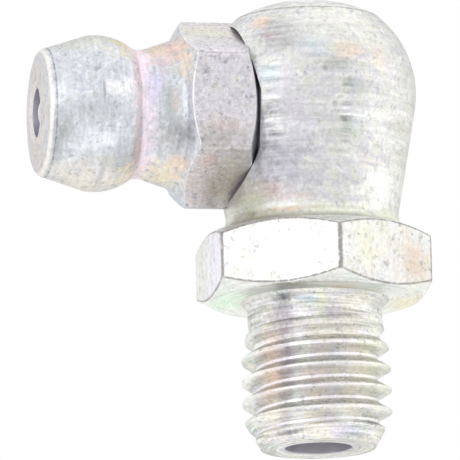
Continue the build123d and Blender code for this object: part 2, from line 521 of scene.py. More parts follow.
@dataclass(frozen=True)
class ZincPassivate(Finish):
    """Bright zinc plate on steel under a thin iridescent passivation.

    To the eye it is a pale satin metal, cream to lilac, clouded with green, orange and
    violet where the film is thicker, over the fine lines that the tool left. Grime lines
    its edges or they are rubbed bright, as the wear of the mesh says. Where the wear stands
    for light, the grime colour is painted shade and the rubbed colour a painted highlight,
    and some of its patches are painted highlights and painted shade too.
    """

    lay: Lay
    tints: tuple[tuple[float, str], ...]
    stains_and_painted_light: tuple[Patch, ...]
    chatter: tuple[Patch, ...] = ()
    cloud: float = 0.9  # mm across one cloud of colour
    tears: float = 2.4  # tears per mm in the rims of the patches
    lines: float = 7.0  # tool lines per mm
    drift: float = 3.0  # how soon a tool line changes round the piece
    draw: float = 0.5  # how soon a drawn line changes along it, per mm
    line_shade: float = 0.14
    line_depth: float = 0.004  # mm
    grains: float = 7.0  # grains of the plate per mm, drawn coarse so that they show
    grain: float = 0.09
    specks: float = 5.0  # specks per mm
    speck_shade: float = 0.28
    dents: float = 0.8  # dents per mm
    dent_shade: float = 0.25
    dent_depth: float = 0.012  # mm
    rubs: float = 6.0  # breaks per mm in a rubbed or grimy edge, and in the painted highlights and shade
    # colours of grime and of rubbed plate, which also serve as painted shade and painted highlights
    grime: str = "#96918E"
    rubbed: str = "#F8F8FA"
    roughness: float = 0.42
    roughness_spread: float = 0.07
    edge_tint: str = "#D6D6D4"  # plated steel reflects a little less at a glancing angle
    seed: float = 0.0

    def wire(self, tree: Tree, shader: bpy.types.Node) -> None:
        """Wires tints, coloured patches, some of them painted highlights and shade, tool lines, blemishes
        and wear to the shader.

        Args:
            tree: the material's node tree.
            shader: its shader.
        """
        where = add(tree, "TexCoord", out="Object")
        mm = add(tree, "VectorMath", {0: where, "Scale": 1 / METRES}, operation="SCALE")
        spot = add(tree, "VectorMath", (mm, (self.seed,) * 3), operation="ADD")
        fineness = (  # features per mm, and octaves of finer ones
            (self.tears, 6.0),
            (1 / self.cloud, 2.0),
            (self.grains, 2.0),
            (self.specks, 3.0),
            (self.rubs, 4.0),
        )
        rim, clouds, grains, specks, rubs = (
            add(tree, "TexNoise", {"Vector": spot, "Scale": scale, "Detail": octaves, "Roughness": FINER})
            for scale, octaves in fineness
        )
        colour = add(tree, "ValToRGB", (clouds,), stops=self.tints)
        # some of these patches are painted highlights and painted shade
        for colour_patch in self.stains_and_painted_light:
            share = colour_patch.mask(tree, mm, rim)
            colour = add(tree, "Mix", {0: share, 6: colour, 7: linear(colour_patch.colour)}, 2, data_type="RGBA")
        colour, height = self.tool_lines(tree, mm, rim, colour)
        specks = add(tree, "Math", (rim, 0.5, specks), operation="MULTIPLY_ADD")
        colour, height = self.blemishes(tree, spot, grains, specks, colour, height)
        colour = self.worn(tree, rubs, colour)
        spread = (self.roughness - self.roughness_spread, self.roughness + self.roughness_spread)
        rough = add(tree, "MapRange", (rim, *NOISE_SPAN, *spread))
        bump = add(tree, "Bump", {"Height": height, "Distance": METRES, "Strength": 1.0})
        for key, socket in (("Base Color", colour), ("Roughness", rough), ("Normal", bump)):
            tree.links.new(socket, shader.inputs[key])
        shader.inputs["Metallic"].default_value = 1.0
        shader.inputs["Specular Tint"].default_value = linear(self.edge_tint)

    def tool_lines(self, tree: Tree, mm: Socket, rim: Socket, colour: Socket) -> tuple[Socket, Socket]:
        """Draws the tool lines as shade and height, deeper where the tool chattered.

        Args:
            tree: the node tree.
            mm: the place in millimetres.
            rim: the noise that tears the chatter's rim.
            colour: the colour so far.

        Returns:
            The shaded colour, and the height in millimetres.
        """
        axis, axis_height, rings = self.lay.value
        off = add(tree, "VectorMath", (mm, (0, 0, axis_height)), operation="SUBTRACT")
        along = add(tree, "VectorMath", (off, axis), operation="MULTIPLY")
        across = add(tree, "VectorMath", (off, along), operation="SUBTRACT")
        if rings:
            radius = add(tree, "VectorMath", (across,), "Value", operation="LENGTH")
            facing = add(tree, "VectorMath", (across,), operation="NORMALIZE")
            depth = add(tree, "Math", (radius, self.lines), operation="MULTIPLY")
            ways = ((facing, self.drift), (along, self.lines))
        else:
            depth = self.seed
            ways = ((along, self.draw), (across, self.lines))
        steps = [add(tree, "VectorMath", {0: way, "Scale": rate}, operation="SCALE") for way, rate in ways]
        place = add(tree, "VectorMath", steps, operation="ADD")
        inputs = {"Vector": place, "W": depth, "Scale": 1.0, "Detail": 2.0, "Roughness": 0.65}
        line = add(tree, "TexNoise", inputs, noise_dimensions="4D")
        power = self.line_shade
        for patch in self.chatter:
            power = add(tree, "Math", (patch.mask(tree, mm, rim), power), operation="ADD")
        dip = add(tree, "MapRange", (line, *LINE_TO_SHADE))
        shade = add(tree, "Math", (dip, power, 1.0), operation="MULTIPLY_ADD")
        height = add(tree, "Math", (line, self.line_depth), operation="MULTIPLY")
        return add(tree, "VectorMath", {0: colour, "Scale": shade}, operation="SCALE"), height

    def blemishes(
        self, tree: Tree, spot: Socket, grains: Socket, specks: Socket, colour: Socket, height: Socket
    ) -> tuple[Socket, Socket]:
        """Adds the grain of the plate, light and dark specks and small dents.

        Args:
            tree: the node tree.
            spot: the place in millimetres, shifted by the seed.
            grains: the noise of the plate's grain.
            specks: the noise of the specks.
            colour: the colour so far.
            height: the height so far.

        Returns:
            The new colour and height.
        """
        cell = add(tree, "TexVoronoi", {"Vector": spot, "Scale": self.dents})
        dent = add(tree, "MapRange", (cell, *CELL_TO_DENT))
        shades = (
            (grains, *NOISE_SPAN, 1 - self.grain, 1 + self.grain),
            (specks, *DARK_SPECKS, 1.0, 1 - self.speck_shade),
            (specks, *LIGHT_SPECKS, 1.0, 1 + self.speck_shade / 2),
            (dent, 0.0, 1.0, 1.0, 1 - self.dent_shade),
        )
        for inputs in shades:
            shade = add(tree, "MapRange", inputs)
            colour = add(tree, "VectorMath", {0: colour, "Scale": shade}, operation="SCALE")
        return colour, add(tree, "Math", (dent, -self.dent_depth, height), operation="MULTIPLY_ADD")

    def worn(self, tree: Tree, rubs: Socket, colour: Socket) -> Socket:
        """Lays grime or rubbed plate where the mesh's wear says, and painted shade and highlights where the
        wear stands for light.

        Args:
            tree: the node tree.
            rubs: the noise that breaks up the wear.
            colour: the colour so far.

        Returns:
            The new colour.
        """
        wear = add(tree, "Attribute", out="Fac", attribute_name="wear")
        breaks = add(tree, "MapRange", (rubs, *NOISE_TO_BREAKS))
        felt = add(tree, "Math", (wear, breaks), operation="MULTIPLY")
        # grime and painted shade first, then rubbed plate and painted highlights
        for layer, to_share in ((self.grime, WEAR_TO_GRIME_AND_SHADE), (self.rubbed, WEAR_TO_RUBBED_AND_HIGHLIGHT)):
            share = add(tree, "MapRange", (felt, *to_share))
            colour = add(tree, "Mix", {0: share, 6: colour, 7: linear(layer)}, 2, data_type="RGBA")
        return colour


@dataclass(frozen=True)
class PlainSteel(Finish):
    """Bare steel with one roughness all over, under faint clouds so that it isn't flat."""

    colour: str
    roughness: float
    clouds: float = 1.5  # per mm
    cloud_shade: float = 0.8  # of the darkest

    def wire(self, tree: Tree, shader: bpy.types.Node) -> None:
        """Wires the clouded colour to the shader and sets what is the same all over.

        Args:
            tree: the material's node tree.
            shader: its shader.
        """
        where = add(tree, "TexCoord", out="Object")
        clouds = add(tree, "TexNoise", {"Vector": where, "Scale": self.clouds / METRES, "Detail": 3.0})
        shade = add(tree, "MapRange", (clouds, *NOISE_SPAN, self.cloud_shade, 1.0))
        tint = add(tree, "VectorMath", (linear(self.colour)[:3], shade), operation="MULTIPLY")
        tree.links.new(tint, shader.inputs["Base Color"])
        shader.inputs["Metallic"].default_value = 1.0
        shader.inputs["Roughness"].default_value = self.roughness


@dataclass(frozen=True)
class FloorPaint(Finish):
    """Matt emulsion paint, which gives the eye a plain pale ground."""

    colour: str
    roughness: float

    def wire(self, tree: Tree, shader: bpy.types.Node) -> None:
        """Sets the paint's colour and roughness on the shader."""
        shader.inputs["Base Color"].default_value = linear(self.colour)
        shader.inputs["Roughness"].default_value = self.roughness


# --------------------------------------------------------------------------------- pieces


class BodySlot(Enum):
    """Material slots of the elbow body."""

    UPRIGHT = 0
    FLATS = 1
    SEAT = 2
    THREAD = 3
    DRILLED = 4


class HeadSlot(Enum):
    """Material slots of the nipple head."""

    BUTTON = 0
    COLLAR = 1
    DRILLED = 2


@dataclass
class ElbowBody:
    """The elbow body: threaded shank, hexagon flange and domed upright with a spot face."""

    finishes: tuple[Finish, ...]
    flange_across_flats: float = 9.0
    flange_height: float = 2.85
    flange_face_step: float = 0.15
    flange_corner_radius: float = 0.3
    edge_wear: float = 0.09  # how far the wear reaches each side of an edge
    corner_line: float = 0.11  # width of the grime at a corner of the flange
    grime: float = -1.0
    thread_radius: float = 3.125
    pitch: float = 25.4 / 28
    thread_depth: float = 0.6134  # of the pitch
    crest_land: float = 1 / 16  # of the pitch, each side of a crest's middle
    thread_edge: float = 0.02  # how far the painted highlights and shade reach each side of the thread's edges
    shank_length: float = 6.22
    blank_radius: float = 2.81
    root_chamfer: float = 0.3
    plain_length: float = 0.95
    fade_length: float = 1.5
    lead_in: float = 0.85
    trimmed: float = 0.01  # a point of the thread that the blank moves further loses its painted highlight and shade
    end_radius: float = 2.4
    end_edge: float = 0.06  # width of the end face's grimy edge, and round of the duct's mouth
    duct_radius: float = 1.4
    duct_short: float = 0.4  # how far below the nipple axis the duct ends
    widest_radius: float = 4.5
    widest_above_axis: float = 0.95
    shoulder_radius: float = 4.2
    flank_angle: float = math.radians(10.4)
    crease_radius: float = 3.05
    crease_sides: tuple[float, float] = (1.2, 0.8)  # degrees of shoulder and cap beside the crease
    crease_shade_and_highlight: tuple[float, float, float] = (-0.5, -0.65, 0.9)  # painted shade below and in the crease, a painted highlight above it
    cap_height: float = 0.79
    dome_rings: tuple[int, int] = (40, 16)  # of the shoulder and of the cap
    foot_land: float = 0.06
    seat_rings: tuple[float, float] = (0.05, 0.25)  # from the root chamfer, and from the flange's edge
    spot_radius: float = 3.5
    spot_flare: float = math.radians(20)
    rim_round: float = 0.07
    pocket_past_axis: float = 1.5
    drill_point: float = math.radians(59)

    @property
    def face(self) -> float:
        """Returns the radius where the flange's chamfers start."""
        return self.flange_across_flats / 2 - self.flange_face_step

    @property
    def thread_root(self) -> float:
        """Returns the radius at the bottom of the thread."""
        return self.thread_radius - self.thread_depth * self.pitch

    def thread_form(self) -> list[tuple[float, float, float]]:
        """Works out the thread's outline over one pitch.

        Returns:
            Height, radius and wear of each point, from root to root. The wear paints highlights on the roots
            and crests and shade on the upper flanks.
        """
        low, high = self.thread_root, self.thread_radius
        crest = self.pitch / 2 - self.pitch * self.crest_land
        root = crest - (high - low) * SLOPE
        soft, lift = self.thread_edge, self.thread_edge / SLOPE
        lower_part, upper_part = 0.4 * (high - low), 0.7 * (high - low)
        rise = [  # height, radius, wear of the lower flank and of the upper one: painted highlights on roots and crests, painted shade on the upper flank
            (0.0, low, 0.6, 0.6),
            (root - soft, low, 0.5, 0.5),
            (root + soft, low + lift, 0.0, -0.2),
            (root + SLOPE * lower_part, low + lower_part, 0.0, -0.45),
            (root + SLOPE * upper_part, low + upper_part, 0.0, -0.55),
            (crest - soft, high - lift, 0.3, -0.5),
            (crest + soft, high, 0.4, 0.1),
            (self.pitch / 2, high, 0.4, 0.4),
        ]
        lower = [(along, radius, wear) for along, radius, wear, _ in rise]
        upper = [(self.pitch - along, radius, wear) for along, radius, _, wear in rise[1:-1]]
        return lower + upper[::-1]

    def blank(self, height: float) -> tuple[float, float]:
        """Measures the turned blank that the thread is rolled on and fades out into.

        Args:
            height: a height on the shank.

        Returns:
            The least and the largest radius that the shank may have there.
        """
        fade = min(max((-height - self.plain_length) / self.fade_length, 0.0), 1.0)
        largest = self.blank_radius + (self.thread_radius - self.blank_radius) * fade
        largest = min(largest, self.end_radius + (height + self.shank_length) * SLOPE)
        least = self.blank_radius + (self.thread_root - self.blank_radius) * fade
        if -height > self.plain_length + self.fade_length:
            least = 0.0
        return max(least, self.blank_radius + self.root_chamfer + height), largest

    def thread(self) -> BMesh:
        """Winds the thread form up the shank and trims it to the turned blank.

        Returns:
            The shank's skin.
        """
        bm = bmesh.new()
        # the wear layer carries the thread's painted highlights and shade
        worn = bm.verts.layers.float.new("wear")
        start = -self.shank_length - (self.lead_in + 1) * self.pitch
        line = []
        for turn in range(math.ceil(-start / self.pitch)):
            for along, radius, wear in self.thread_form():
                line.append(bm.verts.new((radius, 0, start + turn * self.pitch + along)))
                line[-1][worn] = wear
        edges = [bm.edges.new(pair) for pair in zip(line, line[1:])]
        bmesh.ops.spin(
            bm,
            geom=line + edges,
            cent=(0, 0, 0),
            axis=(0, 0, 1),
            dvec=(0, 0, self.pitch / STEPS),
            angle=math.tau,
            steps=STEPS,
            use_merge=False,
        )
        for vert in bm.verts:
            angle = even_angle(vert.co)
            height = min(max(vert.co.z, -self.shank_length), 0.0)
            least, largest = self.blank(height)
            radius = max(min(vert.co.xy.length, largest), least)
            if abs(radius - vert.co.xy.length) > self.trimmed:
                vert[worn] = 0.0
            vert.co = (radius * math.cos(angle), radius * math.sin(angle), height)
        for face in bm.faces:
            face.material_index = BodySlot.THREAD.value
        return bm

    def flange_rows(self) -> list[Row]:
        """Works out the seat and the flange, from the shank out and up to the top face.

        Returns:
            The outline.
        """
        flats, turned = BodySlot.FLATS.value, BodySlot.SEAT.value
        shank, edge = self.blank_radius + self.root_chamfer, self.face - self.seat_rings[1]
        return [
            Row(shank, 0, finish=turned),
            Row(shank + self.seat_rings[0], 0, finish=turned),
            Row(edge, 0, finish=turned, follow=Follow.GATHERED),
            *corner_rows(0, self.flange_height, self.edge_wear, self.face, (turned, flats), self.grime),
        ]

    def upright_rows(self) -> list[Row]:
        """Works out the upright, from the foot's fillet on the flange up to the dome's top.

        Returns:
            The outline.
        """
        shoulder_axis = self.widest_radius - self.shoulder_radius
        shoulder_height = AXIS_HEIGHT + self.widest_above_axis
        top = shoulder_axis + self.shoulder_radius * math.cos(self.flank_angle)
        top_height = shoulder_height - self.shoulder_radius * math.sin(self.flank_angle)
        foot = top - (top_height - self.flange_height) * math.tan(self.flank_angle)
        foot_round = (self.face - self.foot_land - foot) * math.tan((math.pi / 2 - self.flank_angle) / 2)
        flank = eased(
            [
                Row(self.face, self.flange_height),
                Row(foot, self.flange_height, ease=foot_round),
                Row(top, top_height),
            ]
        )
        crease = math.acos((self.crease_radius - shoulder_axis) / self.shoulder_radius)
        crease_height = shoulder_height + self.shoulder_radius * math.sin(crease)
        cap = (self.crease_radius**2 + self.cap_height**2) / (2 * self.cap_height)
        cap_centre = crease_height + self.cap_height - cap
        start, end = -math.degrees(self.flank_angle), math.degrees(crease) - self.crease_sides[0]
        shoulder = arc_rows(
            (shoulder_axis, shoulder_height), self.shoulder_radius, start, end, self.dome_rings[0]
        )
        start = math.degrees(math.acos(self.crease_radius / cap)) + self.crease_sides[1]
        dome = arc_rows((0, cap_centre), cap, start, 90, self.dome_rings[1])
        # painted shade below and in the crease, and a painted highlight on the cap above it
        shoulder[-1] = replace(shoulder[-1], wear=self.crease_shade_and_highlight[0])
        line = Row(self.crease_radius, crease_height, wear=self.crease_shade_and_highlight[1])
        dome[0] = replace(dome[0], wear=self.crease_shade_and_highlight[2])
        return flank[1:] + shoulder[1:] + [line] + dome

    def bore_rows(self) -> list[Row]:
        """Works out the duct, from the shank's end face up to its drilled top.

        Returns:
            The outline.
        """
        thread, drilled = BodySlot.THREAD.value, BodySlot.DRILLED.value
        end, top = -self.shank_length, AXIS_HEIGHT - self.duct_short
        corners = [
            Row(self.end_radius, end, finish=thread, wear=-1.0),
            Row(self.end_radius - self.end_edge, end, finish=thread),
            Row(self.duct_radius, end, ease=self.end_edge, finish=drilled, wear=0.6),
            Row(self.duct_radius, top, finish=drilled),
            Row(0, top, finish=drilled),
        ]
        return eased(corners)

    def spot_face_tool(self) -> BMesh:
        """Spins the tool that faces the upright's side and bores the pocket.

        Returns:
            The tool, closed and lying along the nipple axis.
        """
        mouth = self.spot_radius + 2 * self.widest_radius * math.tan(self.spot_flare)
        reach = -SPOT_DISTANCE - 2 * self.widest_radius
        point = self.pocket_past_axis + POCKET_RADIUS / math.tan(self.drill_point)
        corners = [(0, reach), (mouth, reach), (self.spot_radius, -SPOT_DISTANCE)]
        corners += [(POCKET_RADIUS, -SPOT_DISTANCE), (POCKET_RADIUS, self.pocket_past_axis), (0, point)]
        bm = joined([spun([Row(*corner, finish=BodySlot.DRILLED.value) for corner in corners])])
        lay_along_nipple(bm, 0)
        return bm

    def build(self) -> Object:
        """Builds the piece and hands it to the frame.

        Returns:
            The piece.
        """
        bar = Hexagon(
            across_flats=self.flange_across_flats,
            corner_round=self.flange_corner_radius,
            turned_radius=self.flange_across_flats,  # past the corners, so none is turned off
            face_radius=self.face,
            corner_wear=self.grime,
            worn_width=self.corner_line,
        )
        outside = spun(self.flange_rows() + self.upright_rows(), bar)
        blank = joined([self.thread(), outside, spun(self.bore_rows())])
        body = cut_away(blank, self.spot_face_tool(), len(BodySlot))
        meeting = {BodySlot.DRILLED.value, BodySlot.UPRIGHT.value}
        rim = [edge for edge in body.edges if {face.material_index for face in edge.link_faces} == meeting]
        LOG.info("spot face rim: %d edges", len(rim))
        bmesh.ops.bevel(
            body,
            geom=rim,
            offset=self.rim_round,
            offset_type="OFFSET",
            affect="EDGES",
            segments=2,
            profile=0.5,
            material=-1,
            clamp_overlap=True,
        )
        piece = finish_mesh(body, "elbow_body_dressed", [finish.material() for finish in self.finishes])
        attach(piece, "fitting")
        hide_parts("elbow_body")
        return piece


@dataclass
class NippleHead:
    """The nipple head: button, waist, flare, hexagon collar and the spigot in the pocket."""

    finishes: tuple[Finish, ...]
    head_radius: float = 3.275
    crown: float = 2.5
    crown_lead: float = 0.35
    crown_radius: float = 2.46
    crown_short: float = 3.0  # degrees between the crown's last ring and the neck
    crown_rings: int = 24
    cone_angle: float = math.radians(17.4)
    face_fall: float = 0.16
    nose_round: float = 0.26
    nose_line: tuple[tuple[float, float], ...] = ((0.2, -0.1), (0.25, -0.8), (0.32, 0.0))  # back, wear: a dark line behind the painted highlight on the nose
    neck_radius: float = 2.7
    neck_band: float = 0.42
    neck_front_round: float = 0.4
    neck_back_round: float = 0.5
    flare_length: float = 1.29
    flare_round: float = 0.45
    flare_lead: float = 0.4
    collar_across_flats: float = 7.0
    collar_corner_round: float = 0.02
    collar_length: float = 3.12
    collar_front_step: float = 0.37
    collar_back_step: float = 0.5
    collar_corner_step: float = 0.09
    edge_wear: float = 0.06  # how far the wear reaches each side of an edge
    # rubbed plate and a painted highlight along the collar's edges
    rubbed: float = 0.6
    corner_grime: float = -0.4
    spigot_length: float = 2.2
    spigot_chamfer: float = 0.25
    orifice_radius: float = 1.04
    orifice_chamfer: float = 0.12
    orifice_round: float = 0.04
    orifice_rim: float = 0.1
    orifice_land: float = 0.65
    seat_angle: float = math.radians(30)
    chamber_radius: float = 1.4
    tail_lip: float = 0.35
    tail_hole_radius: float = 0.85

    @property
    def neck_start(self) -> float:
        """Returns how far behind the mouth the crown meets the neck."""
        waist = self.neck_radius - (self.head_radius - self.crown_radius)
        return self.crown + math.sqrt(self.crown_radius**2 - waist**2)

    @property
    def collar_front(self) -> float:
        """Returns how far behind the mouth the collar starts."""
        return self.neck_start + self.neck_band + self.flare_length

    @property
    def tail(self) -> float:
        """Returns how far behind the mouth the spigot ends."""
        return self.collar_front + self.collar_length + self.spigot_length

    @property
    def front_face(self) -> float:
        """Returns the radius where the collar's front chamfers start."""
        return self.collar_across_flats / 2 - self.collar_front_step

    def button_rows(self) -> list[Row]:
        """Works out the outside, from the mouth over the face and the crown to the flare's top.

        Returns:
            The outline, with heights counted back from the mouth.
        """
        crown_axis = self.head_radius - self.crown_radius
        cone_end = self.crown - self.crown_lead
        cone_end_radius = crown_axis + math.sqrt(self.crown_radius**2 - self.crown_lead**2)
        nose = cone_end_radius - (cone_end - self.face_fall) * math.tan(self.cone_angle)
        mouth = self.orifice_radius + self.orifice_chamfer
        start = math.degrees(math.asin(self.crown_lead / self.crown_radius))
        end = math.degrees(math.acos((self.neck_radius - crown_axis) / self.crown_radius))
        crown = arc_rows(
            (crown_axis, self.crown), self.crown_radius, -start, end - self.crown_short, self.crown_rings
        )
        front = [
            Row(self.orifice_radius, self.orifice_chamfer),
            Row(mouth, 0, ease=self.orifice_round, wear=1.0),
            Row(mouth + self.orifice_rim, self.face_fall * self.orifice_rim / (nose - mouth)),
            # the nose's wear is a painted highlight along its rounded edge
            Row(nose, self.face_fall, ease=self.nose_round, wear=1.0),
        ]
        for back, wear in self.nose_line:
            front.append(Row(nose + back * math.tan(self.cone_angle), self.face_fall + back, wear=wear))
        waist = [  # its last corner lies on the collar's chamfer, and only gives a direction
            crown[-1],
            Row(self.neck_radius, self.neck_start, ease=self.neck_front_round),
            Row(self.neck_radius, self.neck_start + self.neck_band, ease=self.neck_back_round),
            Row(self.front_face, self.collar_front, ease=self.flare_round),
            Row(self.front_face + self.flare_lead, self.collar_front + self.flare_lead * SLOPE),
        ]
        return eased([*front, crown[0]])[:-1] + crown + eased(waist)[1:-1]

    def collar_rows(self) -> list[Row]:
        """Works out the rest, from the flare's top over the collar and the spigot to the orifice.

        Returns:
            The outline, with heights counted back from the mouth.
        """
        collar_back = self.collar_front + self.collar_length
        back_face = self.collar_across_flats / 2 - self.collar_back_step - self.edge_wear
        finishes = (HeadSlot.BUTTON.value, HeadSlot.COLLAR.value)
        bar = corner_rows(
            self.collar_front, collar_back, self.edge_wear, self.front_face, finishes, self.rubbed
        )
        lip = self.tail - self.tail_lip
        seat_fall = (self.chamber_radius - self.orifice_radius) / math.tan(self.seat_angle)
        corners = (
            (POCKET_RADIUS, collar_back),
            (POCKET_RADIUS, self.tail - self.spigot_chamfer),
            (POCKET_RADIUS - self.spigot_chamfer, self.tail),
            (self.tail_hole_radius, self.tail),
            (self.tail_hole_radius, lip),
            (self.chamber_radius, lip),
            (self.chamber_radius, self.orifice_land + seat_fall),
            (self.orifice_radius, self.orifice_land),
        )
        inside = [Row(*corner, finish=HeadSlot.DRILLED.value) for corner in corners]
        back = Row(back_face, collar_back, finish=HeadSlot.COLLAR.value)
        return bar[FACE_RINGS:-FACE_RINGS] + [back] + inside

    def build(self) -> Object:
        """Builds the piece about Z, lays it along the nipple axis and hands it to the frame.

        Returns:
            The piece.
        """
        half = self.collar_across_flats / 2
        bar = Hexagon(
            across_flats=self.collar_across_flats,
            corner_round=self.collar_corner_round,
            turned_radius=half / math.cos(HALF_FLAT) - self.collar_corner_step,
            face_radius=self.front_face,
            corner_wear=self.corner_grime,
            worn_width=self.edge_wear,
            first_corner=0.0,
        )
        bm = joined([spun(self.button_rows() + self.collar_rows(), bar, closed=True)])
        lay_along_nipple(bm, self.spigot_length - SPOT_DISTANCE - self.tail)
        piece = finish_mesh(bm, "nipple_head_dressed", [finish.material() for finish in self.finishes])
        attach(piece, "fitting")
        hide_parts("nipple_head")
        return piece


@dataclass
class CheckValve:
    """The check valve: a polished ball on its seat, and the frame's own spring behind it."""

    ball_finish: Finish
    spring_finish: Finish
    segments: int = 64  # round the ball, and half as many from pole to pole

    def build(self) -> Object:
        """Builds the ball and dresses the spring.

        Returns:
            The ball.
        """
        low, high = (Vector(corner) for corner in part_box("check_ball"))
        radius = (high - low).x / 2 / METRES
        bm = bmesh.new()
        bmesh.ops.create_uvsphere(bm, u_segments=self.segments, v_segments=self.segments // 2, radius=radius)
        bmesh.ops.translate(bm, vec=(low + high) / 2 / METRES, verts=bm.verts)
        ball = finish_mesh(bm, "check_ball_dressed", [self.ball_finish.material()])
        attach(ball, "valve_ball")
        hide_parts("check_ball")
        material = self.spring_finish.material()
        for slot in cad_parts["check_spring"].material_slots:
            slot.material = material
        return ball


# --------------------------------------------------------------------------------- studio


@dataclass(frozen=True)
class Softbox:
    """A square soft light: which way it hangs from the fitting, its power and its colour."""

    name: str
    toward: Place
    watts: float
    colour: str


@dataclass
class Studio:
    """Camera, lights, background and floor, with distances in metres."""

    azimuth: float = math.radians(-12.45)
    elevation: float = math.radians(-11.25)
    roll: float = math.radians(-1.54)
    distance: float = 0.5
    sensor: float = 36.0  # mm
    clip: tuple[float, float] = (0.01, 10.0)
    scale: float = 23.89  # pixels per millimetre at the aim, in a frame of 460
    aim: tuple[float, float] = (309.2, 117.6)  # where the two axes cross, in that frame
    frame_side: float = 460.0
    light_side: float = 0.3
    light_distance: float = 0.45
    lights: tuple[Softbox, ...] = (
        Softbox("key", (-0.72, -0.66, 0.2), 0.22, "#FFFFFF"),
        Softbox("right", (0.94, -0.3, 0.2), 0.06, "#FFFBF0"),
        Softbox("top", (0.2, 0.3, 0.9), 0.06, "#FFFFFF"),
    )
    room: str = "#FBFBFC"  # what the metal mirrors
    near_side: Place = (-0.21, -0.96, -0.2)  # where the room is dimmer
    near_to_light: tuple[float, ...] = (-0.2, 1.0, 1.2, 1.0)  # from away from it to right there
    floor_half_side: float = 3.2
    floor_height: float = -1.0

    def camera(self) -> None:
        """Adds the camera, which looks up at the fitting from the front left, a little rolled."""
        flat = math.cos(self.elevation)
        back = Vector(
            (math.sin(self.azimuth) * flat, -math.cos(self.azimuth) * flat, math.sin(self.elevation))
        )
        right = Vector((math.cos(self.azimuth), math.sin(self.azimuth), 0))
        turn = Matrix.Rotation(self.roll, 3, back)
        right, up = turn @ right, turn @ back.cross(right)
        per_metre = self.scale / METRES
        middle = self.frame_side / 2
        aim = Vector((0, 0, AXIS_HEIGHT * METRES))
        aim += right * (middle - self.aim[0]) / per_metre - up * (middle - self.aim[1]) / per_metre
        lens = bpy.data.cameras.new("front_left")
        lens.sensor_width = self.sensor
        lens.lens = self.sensor * self.distance / (self.frame_side / per_metre)
        lens.clip_start, lens.clip_end = self.clip
        camera = in_scene("front_left", lens)
        place = Matrix((right, up, back)).transposed().to_4x4()
        place.translation = aim + back * self.distance
        camera.matrix_world = place
        bpy.context.scene.camera = camera

    def softbox(self, box: Softbox) -> None:
        """Hangs a soft light that faces the fitting.

        Args:
            box: the light.
        """
        light = bpy.data.lights.new(box.name, "AREA")
        light.energy, light.size, light.color = box.watts, self.light_side, linear(box.colour)[:3]
        place = Vector(box.toward).normalized() * self.light_distance
        facing = place.to_track_quat("Z", "Y").to_matrix().to_4x4()
        in_scene(box.name, light).matrix_world = Matrix.Translation(place) @ facing

    def background(self) -> None:
        """Makes the world white to the eye, and to what it lights dimmer on the near side."""
        world = bpy.data.worlds.new("studio")
        world.use_nodes = True
        tree = world.node_tree
        tree.nodes.clear()
        seen = add(tree, "LightPath", out="Is Camera Ray")
        way = add(tree, "TexCoord", out="Generated")
        near = add(tree, "VectorMath", (way, self.near_side), "Value", operation="DOT_PRODUCT")
        power = add(tree, "MapRange", (near, *self.near_to_light))
        soft = add(tree, "Background", (linear(self.room), power))
        white = add(tree, "Background", (linear("#FFFFFF"), 1.0))
        add(tree, "OutputWorld", (add(tree, "MixShader", (seen, soft, white)),), None)
        bpy.context.scene.world = world

    def floor(self) -> None:
        """Lays a plain pale floor well below the fitting."""
        bm = bmesh.new()
        bmesh.ops.create_grid(bm, x_segments=1, y_segments=1, size=self.floor_half_side)
        bmesh.ops.translate(bm, vec=(0, 0, self.floor_height), verts=bm.verts)
        floor = in_scene("floor", as_mesh(bm, "floor"))
        floor.data.materials.append(FLOOR_PAINT.material())

    def build(self) -> None:
        """Sets up the whole studio."""
        bpy.context.scene.view_settings.view_transform = "Standard"
        self.camera()
        self.background()
        self.floor()
        for box in self.lights:
            self.softbox(box)
